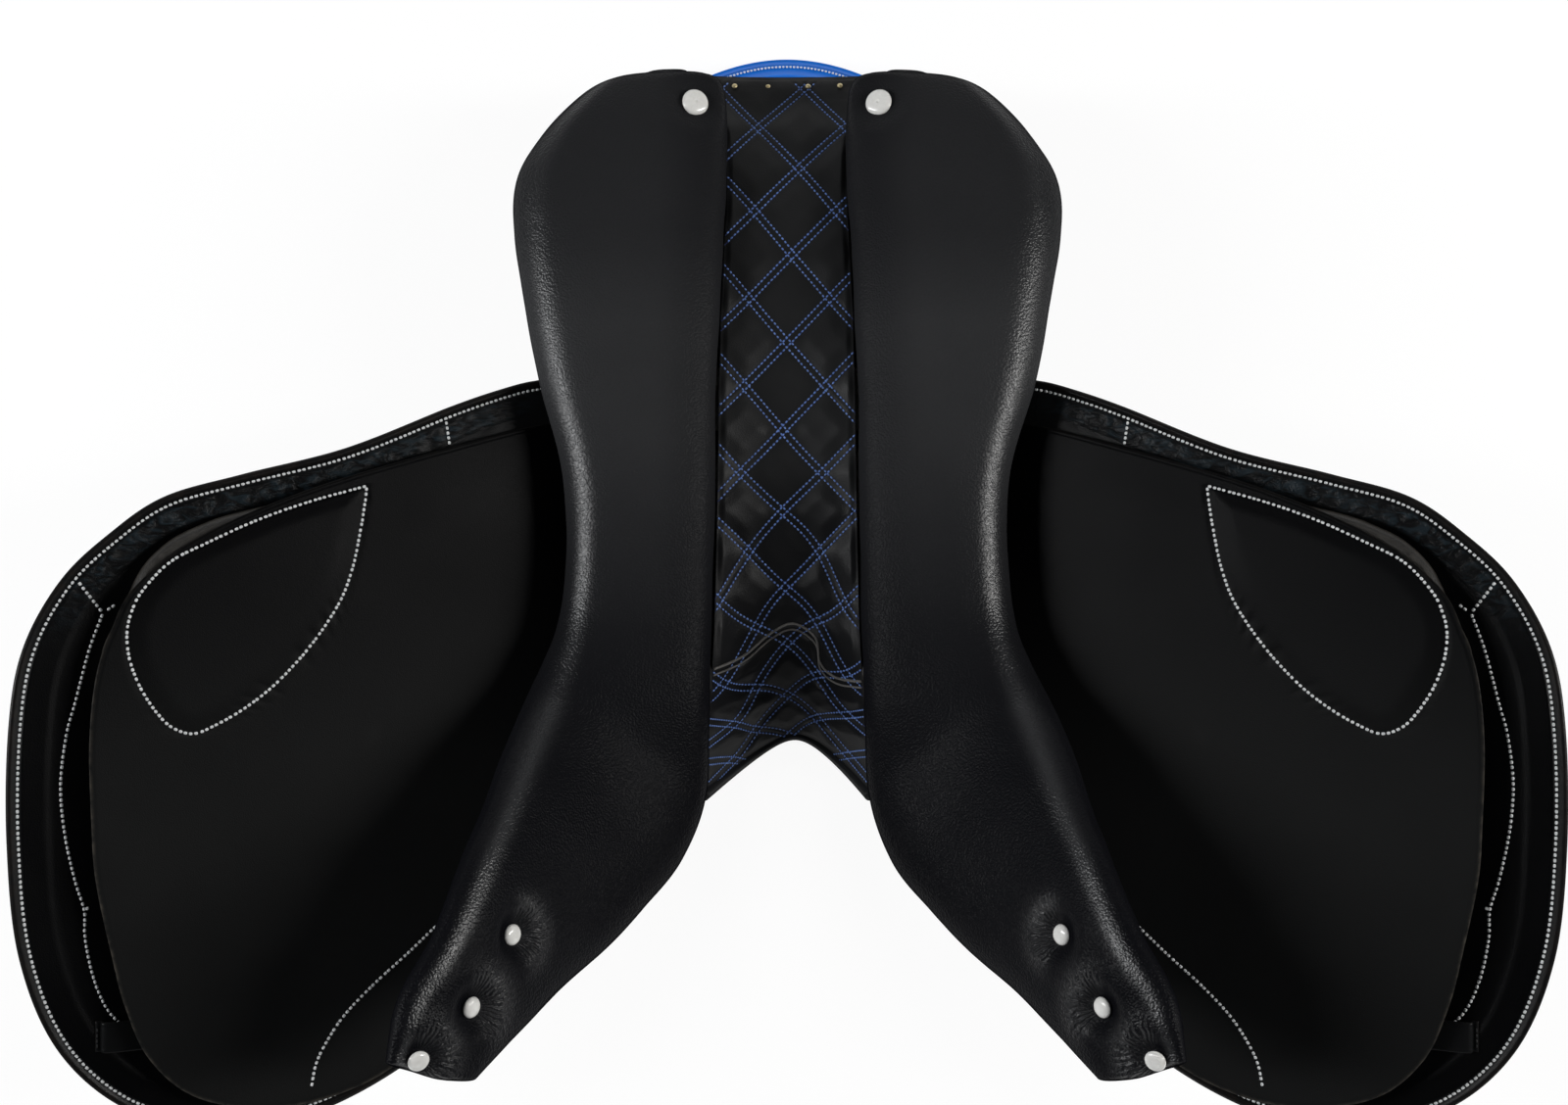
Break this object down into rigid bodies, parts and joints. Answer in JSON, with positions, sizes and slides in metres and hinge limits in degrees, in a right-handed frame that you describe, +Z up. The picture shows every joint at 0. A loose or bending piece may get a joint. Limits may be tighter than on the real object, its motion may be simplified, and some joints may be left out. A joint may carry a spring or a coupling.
{
  "type": "close contact saddle",
  "caption": "English jumping saddle lying on its seat, panels up: leather flaps, blocks, quilted channel, stuffed panels with legs, tree, stirrup bars with hinged catches.",
  "frame": {"origin": "on the floor under the middle of the saddle as it lies upside down", "axes": "+Z up from the seat to the panels, +Y to the cantle, +X to the saddle's off side"},
  "size_m": [0.8888, 0.6861, 0.3197],
  "materials": {
    "panel_leather": "soft black calf leather with a fine grain",
    "flap_leather": "black bridle leather with a low gloss",
    "seat_leather": "black seat leather",
    "strap_leather": "firm black strap leather",
    "blue_leather": "bright blue leather binding",
    "latex_foam": "latex foam",
    "nylon_web": "woven webbing",
    "laminated_wood": "laminated beech, lacquered",
    "steel": "forged steel",
    "brass": "small brass nails",
    "pearl_nickel": "pale domed studs with a satin sheen"
  },
  "bodies": {
    "root": {"seat_cover": "seat_leather", "seat_foam": "latex_foam", "seat_webbing": "nylon_web", "tree": "laminated_wood", "gullet_plate": "steel", "cantle_binding": "blue_leather", "channel_lining": "panel_leather", "channel_nail_1": "brass", "channel_nail_2": "brass", "channel_nail_3": "brass", "channel_nail_4": "brass", "left_panel": "panel_leather", "left_rear_stud": "pearl_nickel", "left_leg_stud_1": "pearl_nickel", "left_leg_stud_2": "pearl_nickel", "left_leg_stud_3": "pearl_nickel", "left_stirrup_bar": "steel", "left_bar_rivet_1": "steel", "left_bar_rivet_2": "steel", "left_catch_pin": "steel", "right_panel": "panel_leather", "right_rear_stud": "pearl_nickel", "right_leg_stud_1": "pearl_nickel", "right_leg_stud_2": "pearl_nickel", "right_leg_stud_3": "pearl_nickel", "right_stirrup_bar": "steel", "right_bar_rivet_1": "steel", "right_bar_rivet_2": "steel", "right_catch_pin": "steel"},
    "left_sweat": {"left_sweat_flap": "flap_leather", "left_flap_top": "flap_leather", "left_thigh_block": "strap_leather", "left_knee_block": "strap_leather"},
    "left_outer_flap": {"left_flap": "flap_leather", "left_flap_keeper": "strap_leather"},
    "left_billets": {"left_billet_1": "strap_leather", "left_billet_2": "strap_leather", "left_billet_3": "strap_leather"},
    "left_skirt": {"left_skirt": "seat_leather"},
    "left_catch": {"left_bar_catch": "steel"},
    "right_sweat": {"right_sweat_flap": "flap_leather", "right_flap_top": "flap_leather", "right_thigh_block": "strap_leather", "right_knee_block": "strap_leather"},
    "right_outer_flap": {"right_flap": "flap_leather", "right_flap_keeper": "strap_leather"},
    "right_billets": {"right_billet_1": "strap_leather", "right_billet_2": "strap_leather", "right_billet_3": "strap_leather"},
    "right_skirt": {"right_skirt": "seat_leather"},
    "right_catch": {"right_bar_catch": "steel"}
  },
  "joints": [
    {"name": "left_sweat_flap_lift", "type": "hinge", "parent": "root", "child": "left_sweat", "pos_m": [-0.108, -0.08, 0.103], "axis": [0, 1, 0], "range_deg": [0, 13]},
    {"name": "left_flap_lift", "type": "hinge", "parent": "left_sweat", "child": "left_outer_flap", "pos_m": [-0.18, -0.08, 0.12399], "axis": [0, 1, 0], "range_deg": [-45, 0], "stiffness_Nm_per_rad": 1.2, "springref_deg": 51.57},
    {"name": "left_billet_lift", "type": "hinge", "parent": "left_sweat", "child": "left_billets", "pos_m": [-0.184, -0.12, 0.135], "axis": [0, 1, 0], "range_deg": [-22.5, 0]},
    {"name": "left_skirt_lift", "type": "hinge", "parent": "root", "child": "left_skirt", "pos_m": [-0.08354, -0.045, 0.08904], "axis": [-0.1883, 0.9671, 0.1712], "range_deg": [-45, 0], "stiffness_Nm_per_rad": 0.08, "springref_deg": 28.65},
    {"name": "left_catch_flip", "type": "hinge", "parent": "root", "child": "left_catch", "pos_m": [-0.1065, -0.0135, 0.09], "axis": [0, 0, -1], "range_deg": [0, 75]},
    {"name": "right_sweat_flap_lift", "type": "hinge", "parent": "root", "child": "right_sweat", "pos_m": [0.108, -0.08, 0.103], "axis": [0, -1, 0], "range_deg": [0, 13]},
    {"name": "right_flap_lift", "type": "hinge", "parent": "right_sweat", "child": "right_outer_flap", "pos_m": [0.18, -0.08, 0.12399], "axis": [0, -1, 0], "range_deg": [-45, 0], "stiffness_Nm_per_rad": 1.2, "springref_deg": 51.57},
    {"name": "right_billet_lift", "type": "hinge", "parent": "right_sweat", "child": "right_billets", "pos_m": [0.184, -0.12, 0.135], "axis": [0, -1, 0], "range_deg": [-22.5, 0]},
    {"name": "right_skirt_lift", "type": "hinge", "parent": "root", "child": "right_skirt", "pos_m": [0.08354, -0.045, 0.08904], "axis": [-0.1883, -0.9671, -0.1712], "range_deg": [-45, 0], "stiffness_Nm_per_rad": 0.08, "springref_deg": 28.65},
    {"name": "right_catch_flip", "type": "hinge", "parent": "root", "child": "right_catch", "pos_m": [0.1065, -0.0135, 0.09], "axis": [0, 0, 1], "range_deg": [0, 75]}
  ],
  "couplings": [
    {"joint": "left_billet_lift", "follows": "left_flap_lift", "ratio": 0.5},
    {"joint": "right_billet_lift", "follows": "right_flap_lift", "ratio": 0.5}
  ]
}
